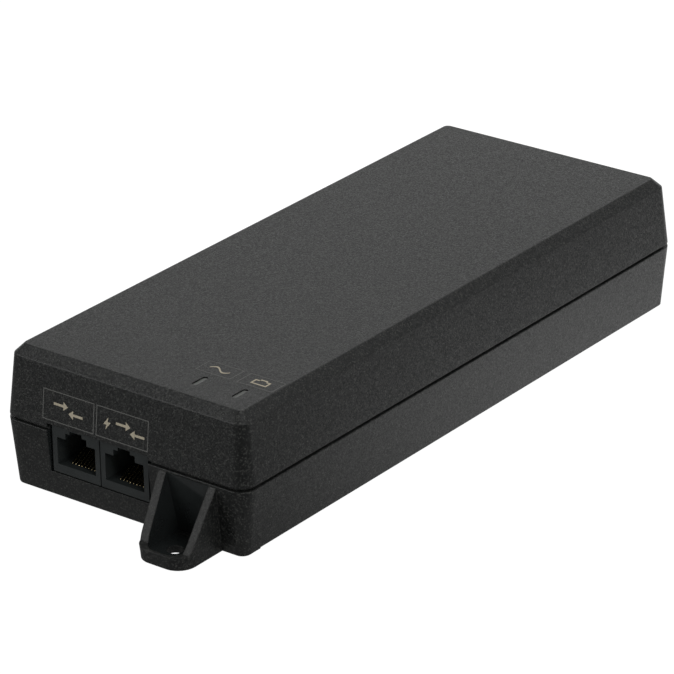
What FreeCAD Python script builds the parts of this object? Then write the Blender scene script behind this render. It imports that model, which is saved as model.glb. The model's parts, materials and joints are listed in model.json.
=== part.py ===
import FreeCAD, Part
import math
import os

from FreeCAD import Vector

os.makedirs("parts", exist_ok=True)

# A desk and wall PoE injector: a long two-part moulded case with a pair of network
# ports at the front (-Y), a mains inlet at the rear (+Y), two status lights in the
# top, and one screw ear at each end. Millimetres, +Z up. The origin is on the
# surface the case rests on, at the centre of its plan.

# ---------------------------------------------------------------- driving sizes
case_width = 74.0
case_length = 181.0
case_height = 36.3
parting_height = 17.8
wall = 2.2
floor_wall = 2.2
top_wall = 2.2
parting_groove = 0.75
groove_depth = 1.1
tongue_rise = 1.2
tongue_clearance = 0.1

# Mould draft, as the slope of each wall away from the parting line.
top_side_draft = math.radians(5.6)
top_end_draft = math.radians(6.5)
bottom_side_draft = math.radians(5.8)
bottom_end_draft = math.radians(4.6)

chamfer_inset = 2.0
chamfer_drop = 2.4
corner_at_parting = 4.0
corner_at_chamfer = 2.7
corner_at_top = 1.5
corner_at_bottom = 2.4
inner_corner_least = 0.8
chamfer_foot_rounding = 0.4
top_edge_rounding = 0.4
groove_edge_rounding = 0.2
bottom_edge_rounding = 0.5
side_relief_height = 0.55
side_relief_width = 2.0
side_relief_start = 7.5

# Network jack: one housing with two ports side by side, latch notch upwards.
jack_centre_x = -7.5
jack_width = 29.6
jack_height = 12.3
jack_depth = 18.0
jack_setback = 1.0
jack_bottom = 6.75
jack_seam = 0.35
port_pitch = 14.9
port_width = 11.8
port_height = 7.05
port_sill = 2.2
port_depth = 14.0
latch_wide_width = 6.6
latch_wide_rise = 1.6
latch_narrow_width = 3.75
latch_narrow_rise = 0.9
jack_gap = 0.8
jack_gap_below = 0.35
jack_gap_above = 0.25
jack_peg_radius = 1.2
jack_peg_clearance = 0.05
jack_peg_share = 0.45

# Spring contacts of each port.
contact_count = 8
contact_pitch = 1.0
contact_width = 0.45
contact_thickness = 0.35
contact_length = 8.6
contact_angle = math.radians(28.0)
contact_setback = 2.9
contact_gap = 0.35
contact_seat_gap = 0.03
contact_tail_reach = 0.6
contact_tail_drop = 1.2
contact_hole_radius = 0.38
trough_drop = 1.05
trough_margin = 0.35
trough_lead = 0.9
insert_height = 4.5
insert_shoulder = 0.4
insert_clearance = 0.05

# Circuit board, and the screws that hold it.
board_side_margin = 8.0
board_front_margin = 2.0
board_rear_margin = 4.0
board_thickness = 1.6
board_clearance = 0.5
board_seat_gap = 0.05
board_screw_side_margin = 5.5
board_screw_front_margin = 39.3
board_screw_rear_margin = 22.3
board_boss_radius = 2.4
board_screw_radius = 1.2
board_screw_head_radius = 2.3
board_screw_head_height = 1.5
thread_clearance = 0.05

# Case screws, driven up from below into the top cover.
post_side_margin = 7.6
post_end_margin = 20.5
post_radius = 3.6
case_screw_radius = 1.5
case_screw_length = 24.0
case_screw_head_radius = 2.6
case_screw_head_height = 1.9
case_screw_recess = 3.6
case_screw_head_gap = 0.25
case_screw_hole_gap = 0.2
case_screw_tip_gap = 1.0
post_join_gap = 0.1
post_root = 0.5
boss_step = 0.4

# Screw ears, moulded with the bottom case.
ear_side_margin = 8.6
ear_width_low = 14.9
ear_width_high = 17.2
ear_reach = 13.1
ear_rim_height = 3.2
ear_rim_wall = 0.9
ear_floor = 1.9
ear_wall_recess = 0.15
ear_rib_wall = 2.15
ear_rib_foot = 3.2
ear_top_gap = 0.6
ear_corner = 4.8
ear_root = 9.0
ear_hole_radius = 2.1
ear_hole_inset = 7.0
ear_hole_reach = 7.0

# Status lights in the top, and the clear pipes that carry them up.
light_side_margin = 10.0
light_pitch = 11.95
light_slot_width = 1.5
light_slot_length = 5.2
light_slot_front = 9.1
light_pipe_recess = 0.35
light_pipe_clearance = 0.05
light_flange_margin = 0.8
light_flange_height = 1.0
led_width = 1.6
led_length = 3.2
led_height = 0.9
led_gap = 0.3

# Mains inlet at the rear: a recessed three-blade socket on the board.
inlet_width = 28.0
inlet_height = 20.4
inlet_depth = 25.0
inlet_gap = 0.35
inlet_proud = 0.4
socket_width = 24.2
socket_height = 16.2
socket_depth = 16.5
socket_corner_cut = 5.0
blade_width = 2.0
blade_height = 4.0
blade_length = 15.0
blade_pitch = 14.0
blade_earth_rise = 4.0
blade_centre_drop = 2.0
blade_seat_gap = 0.02
blade_back_reach = 1.0
blade_tail_width = 1.0
blade_hole_gap = 0.2

# Blank rating plate in a shallow recess underneath.
plate_width = 44.0
plate_length = 70.0
plate_thickness = 0.3
plate_recess = 0.35
plate_clearance = 0.25

# Screw heads: the cross recess, as shares of the head.
cross_depth_share = 0.4
cross_arm_share = 0.62
cross_blade_share = 0.16
board_screw_tip_gap = 0.3

# Soldered parts in general.
lead_radius = 0.4
lead_clearance = 0.15
lead_tail = 1.2
lead_root = 0.3
part_lift = 1.5
box_part_chamfer = 0.4
can_groove_radius = 0.45
can_groove_rise = 2.2
can_score_width = 0.4
can_score_depth = 0.25
can_score_share = 0.6
disc_rounding_share = 0.3
chip_lift = 0.1
chip_lead_reach = 1.1
chip_lead_root = 0.2
chip_lead_thickness = 0.3
chip_lead_share = 0.4
insulation_thickness = 0.4
insulation_side_margin = 1.5
insulation_front_margin = 12.0
insulation_rear_margin = 4.0
insulation_hole_gap = 0.3

# Fuse: a glass tube between two end caps.
fuse_x = -19.0
fuse_radius = 2.6
fuse_glass_step = 0.15
fuse_lift = 0.15
fuse_half_glass = 7.5
fuse_cap_length = 2.5

# Common-mode choke: a ring core on a base, with two windings.
choke_x = 12.0
choke_base_radius = 10.5
choke_base_height = 1.2
choke_pin_offset = 6.0
choke_core_lift = 1.0
choke_core_radius = 9.0
choke_core_bore = 5.2
choke_core_height = 8.0
choke_wire = 0.9
choke_wire_gap = 0.05
choke_winding_angle = 140
choke_winding_start = 20

# Transformer: a pair of ferrite halves, a bobbin and a taped coil.
core_x = 28.0
core_y = 11.0
core_z = 22.0
core_back = 3.5
core_leg = 7.0
core_joint_gap = 0.04
bobbin_wall = 0.8
bobbin_gap = 0.1
bobbin_window_gap = 0.2
bobbin_flange = 1.0
bobbin_flange_reach = 5.0
bobbin_foot_gap = 0.3
bobbin_pin_margin = 1.5
bobbin_pin_pitch = 2.5
coil_flange_gap = 0.05
coil_side_margin = 0.7
coil_top_margin = 0.5
coil_rounding = 2.5
coil_tube_gap = 0.02

# Heatsinks, and the three-lead devices screwed to them.
heatsink_thickness = 2.5
sink_side_margin = 4.5
sink_height = 23.0
sink_return = 5.0
sink_return_share = 0.7
sink_pin_margin = 2.0
device_screw_radius = 1.45
device_screw_head_radius = 2.7
device_screw_head_height = 2.0
device_screw_tip_reach = 1.5
device_thickness = 4.4
device_lift = 5.0
device_width = 10.0
device_body_height = 9.0
device_tab_height = 15.0
device_tab_thickness = 1.3
device_tab_overlap = 0.5
device_hole_rise = 12.0
device_hole_radius = 1.75
device_lead_pitch = 2.54

# Drum inductor of the output filter.
drum_flange = 1.4
drum_core_share = 0.5
drum_coil_share = 0.9
drum_lead_share = 0.6
drum_coil_gap = 0.05

# ---------------------------------------------------------------- worked-out levels
half_width = case_width / 2
half_length = case_length / 2
groove_bottom = parting_height - parting_groove / 2
groove_top = parting_height + parting_groove / 2
chamfer_foot = case_height - chamfer_drop
ceiling = case_height - top_wall
board_half_width = half_width - board_side_margin
board_front = -(half_length - wall) + board_front_margin
board_rear = half_length - wall - board_rear_margin
post_x = half_width - post_side_margin
post_y = half_length - post_end_margin
ear_right = half_width - ear_side_margin
ear_left_low = ear_right - ear_width_low
ear_left_high = ear_right - ear_width_high
ear_hole_x = ear_right - ear_hole_inset
light_x = (half_width - light_side_margin - light_pitch, half_width - light_side_margin)
jack_front = -half_length + jack_setback
jack_top = jack_bottom + jack_height
board_top = jack_bottom - board_seat_gap
board_bottom = board_top - board_thickness
board_holes = []

# Cutting tools run this far past the face they cut, and levels match within this much.
overcut = 1.0
level_tolerance = 0.01


# ---------------------------------------------------------------- shape helpers
def box(x0, x1, y0, y1, z0, z1):
    return Part.makeBox(x1 - x0, y1 - y0, z1 - z0, Vector(x0, y0, z0))


def upright(radius, x, y, z0, z1):
    return Part.makeCylinder(radius, z1 - z0, Vector(x, y, z0))


def along_x(radius, y, z, x0, x1):
    return Part.makeCylinder(radius, x1 - x0, Vector(x0, y, z), Vector(1, 0, 0))


def fused(shapes):
    return shapes[0].fuse(shapes[1:]).removeSplitter()


def prism_x(points_yz, x0, x1):
    corners = [Vector(x0, y, z) for y, z in points_yz]
    face = Part.Face(Part.makePolygon(corners + corners[:1]))
    return face.extrude(Vector(x1 - x0, 0, 0))


def prism_y(points_xz, y0, y1):
    corners = [Vector(x, y0, z) for x, z in points_xz]
    face = Part.Face(Part.makePolygon(corners + corners[:1]))
    return face.extrude(Vector(0, y1 - y0, 0))


def rounded_outline(x0, x1, y0, y1, radius, z):
    """A rectangle with four rounded corners, as one closed wire at height z."""
    edges = []
    corners = [(x1, y0, -1, 1), (x1, y1, -1, -1), (x0, y1, 1, -1), (x0, y0, 1, 1)]
    knee = radius * (1 - math.sqrt(0.5))
    starts = []
    ends = []
    for index, (x, y, inward_x, inward_y) in enumerate(corners):
        on_x_side = Vector(x + inward_x * radius, y, z)
        on_y_side = Vector(x, y + inward_y * radius, z)
        first, last = (on_x_side, on_y_side) if index % 2 == 0 else (on_y_side, on_x_side)
        middle = Vector(x + inward_x * knee, y + inward_y * knee, z)
        edges.append(Part.Arc(first, middle, last).toShape())
        starts.append(first)
        ends.append(last)
    outline = []
    for index, arc in enumerate(edges):
        outline.append(arc)
        following = starts[(index + 1) % len(starts)]
        outline.append(Part.LineSegment(ends[index], following).toShape())
    return Part.Wire(outline)


def loft(outlines):
    return Part.makeLoft(outlines, True, True)


def rounded_at(shape, level, radius):
    """The shape with every edge that lies flat at one level rounded over."""
    edges = []
    for edge in shape.Edges:
        span = edge.BoundBox
        if abs(span.ZMin - level) < level_tolerance and abs(span.ZMax - level) < level_tolerance:
            edges.append(edge)
    return shape.makeFillet(radius, edges)


def slot_pin(x, y0, y1, width, z0, z1):
    """An upright bar whose plan is a slot along Y with round ends."""
    radius = width / 2
    middle = box(x - radius, x + radius, y0 + radius, y1 - radius, z0, z1)
    ends = [upright(radius, x, y, z0, z1) for y in (y0 + radius, y1 - radius)]
    return fused([middle] + ends)


def half_turned(shape):
    """The same shape on the opposite end of the case."""
    turned = shape.copy()
    turned.rotate(Vector(0, 0, 0), Vector(0, 0, 1), 180)
    return turned


def save(name, *shapes):
    solids = []
    for shape in shapes:
        solids.extend(shape.Solids)
    result = solids[0] if len(solids) == 1 else Part.makeCompound(solids)
    result.exportStep("parts/" + name + ".step")
    volume = sum(solid.Volume for solid in solids)
    print(name, "solids:", len(solids), "volume mm3:", round(volume, 1), "valid:", result.isValid())


# ---------------------------------------------------------------- case envelope
def side_half(z):
    """Half the case's width at height z, on its drafted sides."""
    if z >= parting_height:
        return half_width - (z - parting_height) * math.tan(top_side_draft)
    return half_width - (parting_height - z) * math.tan(bottom_side_draft)


def end_half(z):
    """Half the case's length at height z, on its drafted ends."""
    if z >= parting_height:
        return half_length - (z - parting_height) * math.tan(top_end_draft)
    return half_length - (parting_height - z) * math.tan(bottom_end_draft)


def corner_radius(z):
    if z >= parting_height:
        share = (z - parting_height) / (chamfer_foot - parting_height)
        return corner_at_parting + (corner_at_chamfer - corner_at_parting) * min(share, 1.0)
    return corner_at_bottom + (corner_at_parting - corner_at_bottom) * max(z, 0.0) / parting_height


def case_outline(z, inset=0.0, radius=None):
    across = side_half(z) - inset
    along = end_half(z) - inset
    if radius is None:
        radius = max(corner_radius(z) - inset, inner_corner_least)
    return rounded_outline(-across, across, -along, along, radius, z)


# ---------------------------------------------------------------- openings in the case
window_left = jack_centre_x - jack_width / 2 - jack_gap
window_right = jack_centre_x + jack_width / 2 + jack_gap
window_sill = jack_bottom - jack_gap_below
window_head = jack_top + jack_gap_above
end_cut_reach = 6.0


def jack_window(z0, z1):
    return box(window_left, window_right, -half_length - 1, -half_length + end_cut_reach, z0, z1)


inlet_bottom = board_top
inlet_top = inlet_bottom + inlet_height


def inlet_window(z0, z1):
    across = inlet_width / 2 + inlet_gap
    return box(-across, across, half_length - end_cut_reach, half_length + 1, z0, z1)


def post_places():
    return [(sx * post_x, sy * post_y) for sx in (-1, 1) for sy in (-1, 1)]


def board_screw_places():
    across = board_half_width - board_screw_side_margin
    rows = (board_front + board_screw_front_margin, board_rear - board_screw_rear_margin)
    return [(sign * across, y) for sign in (-1, 1) for y in rows]


# ---------------------------------------------------------------- top cover
post_meet = parting_height


def top_cover():
    outer = loft([
        case_outline(groove_top),
        case_outline(chamfer_foot),
        case_outline(case_height, chamfer_inset, corner_at_top),
    ])
    outer = rounded_at(outer, chamfer_foot, chamfer_foot_rounding)
    outer = rounded_at(outer, case_height, top_edge_rounding)
    outer = rounded_at(outer, groove_top, groove_edge_rounding)
    cavity = loft([case_outline(groove_top - overcut, wall), case_outline(ceiling, wall)])
    rebate_top = groove_top + tongue_rise + tongue_clearance
    rebate_inset = groove_depth - tongue_clearance
    rebate = loft([
        case_outline(groove_top - overcut, rebate_inset),
        case_outline(rebate_top, rebate_inset),
    ])
    shell = outer.cut(cavity).cut(rebate)
    bosses = []
    for x, y in post_places():
        bosses.append(upright(post_radius - boss_step, x, y, post_meet + post_join_gap, ceiling + post_root))
    shell = fused([shell] + bosses)
    for x, y in post_places():
        pilot = case_screw_radius + thread_clearance
        pilot_end = case_screw_tip() + case_screw_tip_gap
        shell = shell.cut(upright(pilot, x, y, post_meet - overcut, pilot_end))
    shell = shell.cut(jack_window(groove_bottom - overcut, window_head))
    shell = shell.cut(inlet_window(groove_bottom - overcut, inlet_top + inlet_gap))
    for x in light_x:
        y0, y1 = light_span()
        slot = slot_pin(x, y0, y1, light_slot_width, ceiling - overcut, case_height + overcut)
        shell = shell.cut(slot)
    return shell


def light_span():
    """Front and rear ends of a status light slot."""
    front = -half_length + light_slot_front
    return front, front + light_slot_length


# ---------------------------------------------------------------- bottom case
def ear_outline(z, left, margin, front_margin, radius):
    """The plan of the front ear, from its front edge back into the case wall."""
    front = -(half_length + ear_reach) + front_margin
    behind = -half_length + ear_root
    return rounded_outline(left + margin, ear_right - margin, front, behind, radius, z)


def ear():
    top = groove_bottom - ear_top_gap
    block = loft([
        ear_outline(0, ear_left_low, 0, 0, ear_corner),
        ear_outline(top, ear_left_high, 0, 0, ear_corner),
    ])
    front = -(half_length + ear_reach)
    behind = -end_half(0) + wall / 2
    profile = prism_x([
        (behind, 0),
        (front, 0),
        (front, ear_rim_height),
        (front + ear_rib_foot, ear_rim_height),
        (-end_half(top), top),
        (behind, top),
    ], 0, half_width)
    hole = upright(ear_hole_radius, ear_hole_x, ear_hole_y(), -overcut, ear_floor + overcut)
    return block.common(profile).cut(ear_pocket(top)).cut(hole)


def ear_pocket(top):
    corner = ear_corner - ear_rim_wall
    return loft([
        ear_outline(ear_floor, ear_left_low, ear_rib_wall, ear_rim_wall, corner),
        ear_outline(top + overcut, ear_left_high, ear_rib_wall, ear_rim_wall, corner),
    ])


def ear_recess():
    """The pocket's hollow in the case wall behind it, so that its back is set in a little."""
    top = groove_bottom - ear_top_gap
    front = -(half_length + overcut)
    reach = prism_x([
        (front, ear_floor),
        (ear_wall_recess - end_half(ear_floor), ear_floor),
        (ear_wall_recess - end_half(top), top),
        (front, top),
    ], 0, half_width)
    return ear_pocket(top).common(reach)


def ear_hole_y():
    return -(half_length + ear_hole_reach)


def bottom_case():
    outer = loft([case_outline(0), case_outline(groove_bottom)])
    outer = rounded_at(outer, 0, bottom_edge_rounding)
    outer = rounded_at(outer, groove_bottom, groove_edge_rounding)
    tongue = loft([
        case_outline(groove_bottom - overcut, groove_depth),
        case_outline(groove_top + tongue_rise, groove_depth),
    ])
    cavity = loft([
        case_outline(floor_wall, wall),
        case_outline(parting_height, wall),
        case_outline(case_height, wall),
    ])
    front_ear = ear()
    shell = fused([outer, tongue, front_ear, half_turned(front_ear)]).cut(cavity)
    additions = []
    for x, y in post_places():
        additions.append(upright(post_radius, x, y, floor_wall - post_root, post_meet - post_join_gap))
    for x, y in board_screw_places():
        additions.append(upright(board_boss_radius, x, y, floor_wall - post_root, board_bottom))
    shell = fused([shell] + additions)
    for x, y in post_places():
        bore = case_screw_radius + case_screw_hole_gap
        shell = shell.cut(upright(bore, x, y, -overcut, post_meet + overcut))
        recess = case_screw_head_radius + case_screw_head_gap
        shell = shell.cut(upright(recess, x, y, -overcut, case_screw_recess))
    for x, y in board_screw_places():
        pilot = board_screw_radius + thread_clearance
        shell = shell.cut(upright(pilot, x, y, floor_wall - post_root, board_bottom + overcut))
    recess = ear_recess()
    shell = shell.cut(recess).cut(half_turned(recess))
    shell = shell.cut(jack_window(window_sill, case_height))
    shell = shell.cut(inlet_window(inlet_bottom - inlet_gap, case_height))
    relief_start = -half_length + side_relief_start
    for sign in (-1, 1):
        edge = side_half(0) - side_relief_width
        x0, x1 = sorted((sign * edge, sign * half_width))
        strip = box(x0, x1, relief_start, half_length, -overcut, side_relief_height)
        shell = shell.cut(strip)
    across = plate_width / 2 + plate_clearance
    along = plate_length / 2 + plate_clearance
    return shell.cut(box(-across, across, -along, along, -overcut, plate_recess))


# ---------------------------------------------------------------- screws
def case_screw_tip():
    return case_screw_recess + case_screw_length


def pan_screw(x, y, seat_z, radius, length, head_radius, head_height, up):
    """A pan-head screw with a cross recess; up is +1 when its point is upwards."""
    reach = up * length
    shank = upright(radius, x, y, min(seat_z, seat_z + reach), max(seat_z, seat_z + reach))
    head_end = seat_z - up * head_height
    head = upright(head_radius, x, y, min(seat_z, head_end), max(seat_z, head_end))
    recess_end = seat_z - up * head_height * cross_depth_share
    low = min(recess_end, head_end - up)
    high = max(recess_end, head_end - up)
    arm = head_radius * cross_arm_share
    blade = head_radius * cross_blade_share
    cross = fused([
        box(x - arm, x + arm, y - blade, y + blade, low, high),
        box(x - blade, x + blade, y - arm, y + arm, low, high),
    ])
    return fused([shank, head]).cut(cross)


def case_screws():
    return [
        pan_screw(x, y, case_screw_recess, case_screw_radius, case_screw_length,
                  case_screw_head_radius, case_screw_head_height, 1)
        for x, y in post_places()
    ]


def board_screws():
    length = board_thickness + (board_bottom - floor_wall) - board_screw_tip_gap
    return [
        pan_screw(x, y, board_top, board_screw_radius, length,
                  board_screw_head_radius, board_screw_head_height, -1)
        for x, y in board_screw_places()
    ]


# ---------------------------------------------------------------- network jack
def port_places():
    return [jack_centre_x - port_pitch / 2, jack_centre_x + port_pitch / 2]


port_floor = jack_bottom + port_sill
port_head = port_floor + port_height
trough_floor = port_floor - trough_drop
port_back = jack_front + port_depth
jack_back = jack_front + jack_depth
comb_half = (contact_count - 1) * contact_pitch / 2 + contact_width / 2 + trough_margin


def jack_housing():
    left = jack_centre_x - jack_width / 2
    shell = box(left, left + jack_width, jack_front, jack_back, jack_bottom, jack_top)
    outside = jack_front - overcut
    for x in port_places():
        half = port_width / 2
        shell = shell.cut(box(x - half, x + half, outside, port_back, port_floor, port_head))
        half = latch_wide_width / 2
        step = port_head + latch_wide_rise
        shell = shell.cut(box(x - half, x + half, outside, port_back, port_head - overcut, step))
        half = latch_narrow_width / 2
        crown = step + latch_narrow_rise
        shell = shell.cut(box(x - half, x + half, outside, port_back, step - overcut, crown))
        trough_front = jack_front + contact_setback - trough_lead
        shell = shell.cut(box(x - comb_half, x + comb_half, trough_front, jack_back + overcut,
                              trough_floor, port_floor + contact_thickness))
        insert_top = port_floor + insert_height + insert_clearance
        across = comb_half + insert_clearance + insert_shoulder
        shell = shell.cut(box(x - across, x + across, port_back - insert_clearance, jack_back + overcut,
                              port_floor, insert_top))
    seam = box(jack_centre_x - jack_seam / 2, jack_centre_x + jack_seam / 2,
               outside, jack_front + jack_seam, jack_bottom - overcut, jack_top + overcut)
    shell = shell.cut(seam)
    for x in port_places():
        peg = upright(jack_peg_radius, x, jack_peg_y(), board_bottom, jack_bottom + post_root)
        shell = fused([shell, peg])
    return shell


def jack_peg_y():
    return jack_front + jack_depth * jack_peg_share


def contact_insert(x):
    """The rear block that clamps one port's contacts in the housing."""
    across = comb_half + insert_shoulder
    floor_z = trough_floor + contact_seat_gap + contact_thickness + insert_clearance
    block = box(x - across, x + across, port_back, jack_back, port_floor + insert_clearance,
                port_floor + insert_height)
    keel_half = comb_half - insert_clearance
    keel = box(x - keel_half, x + keel_half, port_back, jack_back, floor_z, port_floor + insert_height / 2)
    return fused([block, keel])


def contact_places(x):
    first = x - (contact_count - 1) * contact_pitch / 2
    return [first + index * contact_pitch for index in range(contact_count)]


pivot_y = jack_front + contact_setback
pivot_z = trough_floor + contact_thickness + contact_gap


def contact_springs(x):
    """The free legs of one port's contacts, rising rearwards from their front bend."""
    springs = []
    for place in contact_places(x):
        x0 = place - contact_width / 2
        leg = Part.makeBox(contact_width, contact_length, contact_thickness,
                           Vector(x0, pivot_y, pivot_z))
        nose = Part.makeCylinder(contact_thickness / 2, contact_width,
                                 Vector(x0, pivot_y, pivot_z + contact_thickness / 2),
                                 Vector(1, 0, 0))
        leg = leg.fuse(nose).removeSplitter()
        leg.rotate(Vector(x0, pivot_y, pivot_z + contact_thickness / 2), Vector(1, 0, 0),
                   math.degrees(contact_angle))
        springs.append(leg)
    return springs


tail_y = jack_back + contact_tail_reach
tail_bottom = board_bottom - contact_tail_drop


def contact_tails(x):
    """The fixed legs, along the trough, out of the back and down through the board."""
    tails = []
    for place in contact_places(x):
        x0 = place - contact_width / 2
        x1 = place + contact_width / 2
        low = trough_floor + contact_seat_gap
        run = box(x0, x1, pivot_y - contact_thickness / 2, tail_y, low, low + contact_thickness)
        drop = box(x0, x1, tail_y - contact_thickness, tail_y, tail_bottom, low + contact_thickness)
        tails.append(fused([run, drop]))
        board_holes.append((place, tail_y - contact_thickness / 2, contact_hole_radius))
    return tails


# ---------------------------------------------------------------- status lights
def light_pipe(x):
    y0, y1 = light_span()
    gap = light_pipe_clearance
    shaft = slot_pin(x, y0 + gap, y1 - gap, light_slot_width - 2 * gap,
                     board_top + led_height + led_gap, case_height - light_pipe_recess)
    margin = light_flange_margin
    flange = slot_pin(x, y0 - margin, y1 + margin, light_slot_width + 2 * margin,
                      ceiling - light_flange_height, ceiling)
    return fused([shaft, flange])


def status_led(x):
    y0, y1 = light_span()
    middle = (y0 + y1) / 2
    return box(x - led_width / 2, x + led_width / 2, middle - led_length / 2, middle + led_length / 2,
               board_top, board_top + led_height)


# ---------------------------------------------------------------- mains inlet
inlet_front = half_length + inlet_proud
inlet_middle = inlet_bottom + inlet_height / 2


def inlet_housing():
    half = inlet_width / 2
    body = box(-half, half, inlet_front - inlet_depth, inlet_front, inlet_bottom, inlet_top)
    across = socket_width / 2
    low = inlet_middle - socket_height / 2
    high = inlet_middle + socket_height / 2
    socket = prism_y([
        (-across, low),
        (across, low),
        (across, high - socket_corner_cut),
        (across - socket_corner_cut, high),
        (socket_corner_cut - across, high),
        (-across, high - socket_corner_cut),
    ], inlet_front - socket_depth, inlet_front + overcut)
    body = body.cut(socket)
    for x, z in blade_places():
        body = body.cut(blade_block(x, z, blade_seat_gap))
    return body


def blade_places():
    level = inlet_middle - blade_centre_drop
    return [(-blade_pitch / 2, level), (blade_pitch / 2, level), (0, level + blade_earth_rise)]


def blade_block(x, z, margin=0.0):
    """One blade from its tip in the socket to the back, with its tail into the board."""
    tip = inlet_front - socket_depth + blade_length
    back = inlet_front - inlet_depth - blade_back_reach
    across = blade_width / 2 + margin
    tall = blade_height / 2 + margin
    blade = box(x - across, x + across, back, tip, z - tall, z + tall)
    half_tail = blade_tail_width / 2
    tail = box(x - half_tail, x + half_tail, back, back + blade_tail_width, board_bottom - lead_tail, z)
    return fused([blade, tail])


# ---------------------------------------------------------------- circuit board
def circuit_board():
    half = board_half_width
    board = box(-half, half, board_front, board_rear, board_bottom, board_top)
    for x, y in post_places():
        board = board.cut(upright(post_radius + board_clearance, x, y, 0, case_height))
    for x, y in board_screw_places():
        board = board.cut(upright(board_screw_radius + case_screw_hole_gap, x, y, 0, case_height))
    for x in port_places():
        board = board.cut(upright(jack_peg_radius + jack_peg_clearance, x, jack_peg_y(), 0, case_height))
    back = inlet_front - inlet_depth - blade_back_reach + blade_tail_width / 2
    slot = blade_tail_width / 2 + blade_hole_gap
    for x, level in blade_places():
        board = board.cut(box(x - slot, x + slot, back - slot, back + slot, 0, case_height))
    drills = [upright(radius, x, y, 0, case_height) for x, y, radius in board_holes]
    return board.cut(Part.makeCompound(drills))


def insulation_sheet():
    """Folded-edge film between the solder side and the case floor."""
    half = board_half_width - insulation_side_margin
    front = board_front + insulation_front_margin
    rear = board_rear - insulation_rear_margin
    sheet = box(-half, half, front, rear, floor_wall, floor_wall + insulation_thickness)
    for x, y in post_places():
        sheet = sheet.cut(upright(post_radius + board_clearance, x, y, 0, board_top))
    for x, y in board_screw_places():
        sheet = sheet.cut(upright(board_boss_radius + insulation_hole_gap, x, y, 0, board_top))
    return sheet


def with_leads(body, places):
    """Add round leads that pass down through the board under a part."""
    leads = []
    for x, y in places:
        leads.append(upright(lead_radius, x, y, board_bottom - lead_tail, board_top + lead_root))
        board_holes.append((x, y, lead_radius + lead_clearance))
    return fused([body] + leads)


def can_capacitor(x, y, radius, height, lead_gap):
    """An upright electrolytic capacitor with a crimp groove and a scored top."""
    can = upright(radius, x, y, board_top, board_top + height)
    groove = Part.makeTorus(radius, can_groove_radius, Vector(x, y, board_top + can_groove_rise))
    top = board_top + height
    reach = radius * can_score_share
    half = can_score_width / 2
    score = fused([
        box(x - reach, x + reach, y - half, y + half, top - can_score_depth, top + overcut),
        box(x - half, x + half, y - reach, y + reach, top - can_score_depth, top + overcut),
    ])
    can = can.cut(groove).cut(score)
    return with_leads(can, [(x - lead_gap / 2, y), (x + lead_gap / 2, y)])


def boxed_part(x, y, length_x, length_y, height, lead_places):
    body = box(x - length_x / 2, x + length_x / 2, y - length_y / 2, y + length_y / 2,
               board_top, board_top + height)
    level = board_top + height - level_tolerance
    edges = [edge for edge in body.Edges if edge.BoundBox.ZMin > level]
    body = body.makeChamfer(box_part_chamfer, edges)
    return with_leads(body, lead_places)


def disc_part(x, y, radius, thickness, lift, lead_gap):
    """A disc standing on edge across X, on two leads."""
    centre_z = board_top + lift + radius
    disc = Part.makeCylinder(radius, thickness, Vector(x, y - thickness / 2, centre_z), Vector(0, 1, 0))
    edges = [edge for edge in disc.Edges if isinstance(edge.Curve, Part.Circle)]
    disc = disc.makeFillet(thickness * disc_rounding_share, edges)
    leads = []
    for sign in (-1, 1):
        lead_x = x + sign * lead_gap / 2
        leads.append(upright(lead_radius, lead_x, y, board_bottom - lead_tail, centre_z - radius / 2))
        board_holes.append((lead_x, y, lead_radius + lead_clearance))
    return fused([disc] + leads)


# ---------------------------------------------------------------- mains side parts
filter_y = board_rear - 34.0


def fuse_parts():
    x = fuse_x
    y = filter_y + 3
    level = board_top + fuse_radius + fuse_lift
    glass = along_x(fuse_radius - fuse_glass_step, y, level, x - fuse_half_glass, x + fuse_half_glass)
    caps = []
    for sign in (-1, 1):
        inner = x + sign * fuse_half_glass
        outer = inner + sign * fuse_cap_length
        cap = along_x(fuse_radius, y, level, min(inner, outer), max(inner, outer))
        caps.append(with_leads(cap, [((inner + outer) / 2, y)]))
    return glass, caps


def choke_parts():
    x = choke_x
    y = filter_y - 19.0
    base_top = board_top + choke_base_height
    offset = choke_pin_offset
    base = with_leads(upright(choke_base_radius, x, y, board_top, base_top),
                      [(x + sx * offset, y + sy * offset) for sx in (-1, 1) for sy in (-1, 1)])
    bottom = base_top + choke_core_lift
    top = bottom + choke_core_height
    bore = upright(choke_core_bore, x, y, bottom - overcut, top + overcut)
    core = upright(choke_core_radius, x, y, bottom, top).cut(bore)
    gap = choke_wire_gap
    cleared = upright(choke_core_radius + gap, x, y, bottom - gap, top + gap)
    cleared = cleared.cut(upright(choke_core_bore - gap, x, y, bottom - overcut, top + overcut))
    windings = []
    for turn in (0, 180):
        sector = Part.makeCylinder(choke_core_radius + choke_wire, top + choke_wire - base_top,
                                   Vector(x, y, base_top), Vector(0, 0, 1), choke_winding_angle)
        inner = upright(choke_core_bore - choke_wire, x, y, base_top - overcut, top + 2 * overcut)
        sector = sector.cut(inner).cut(cleared)
        sector.rotate(Vector(x, y, 0), Vector(0, 0, 1), turn + choke_winding_start)
        windings.append(sector)
    return base, core, windings


# ---------------------------------------------------------------- switching stage
transformer_y = 0.0
transformer_x = -3.0


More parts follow.
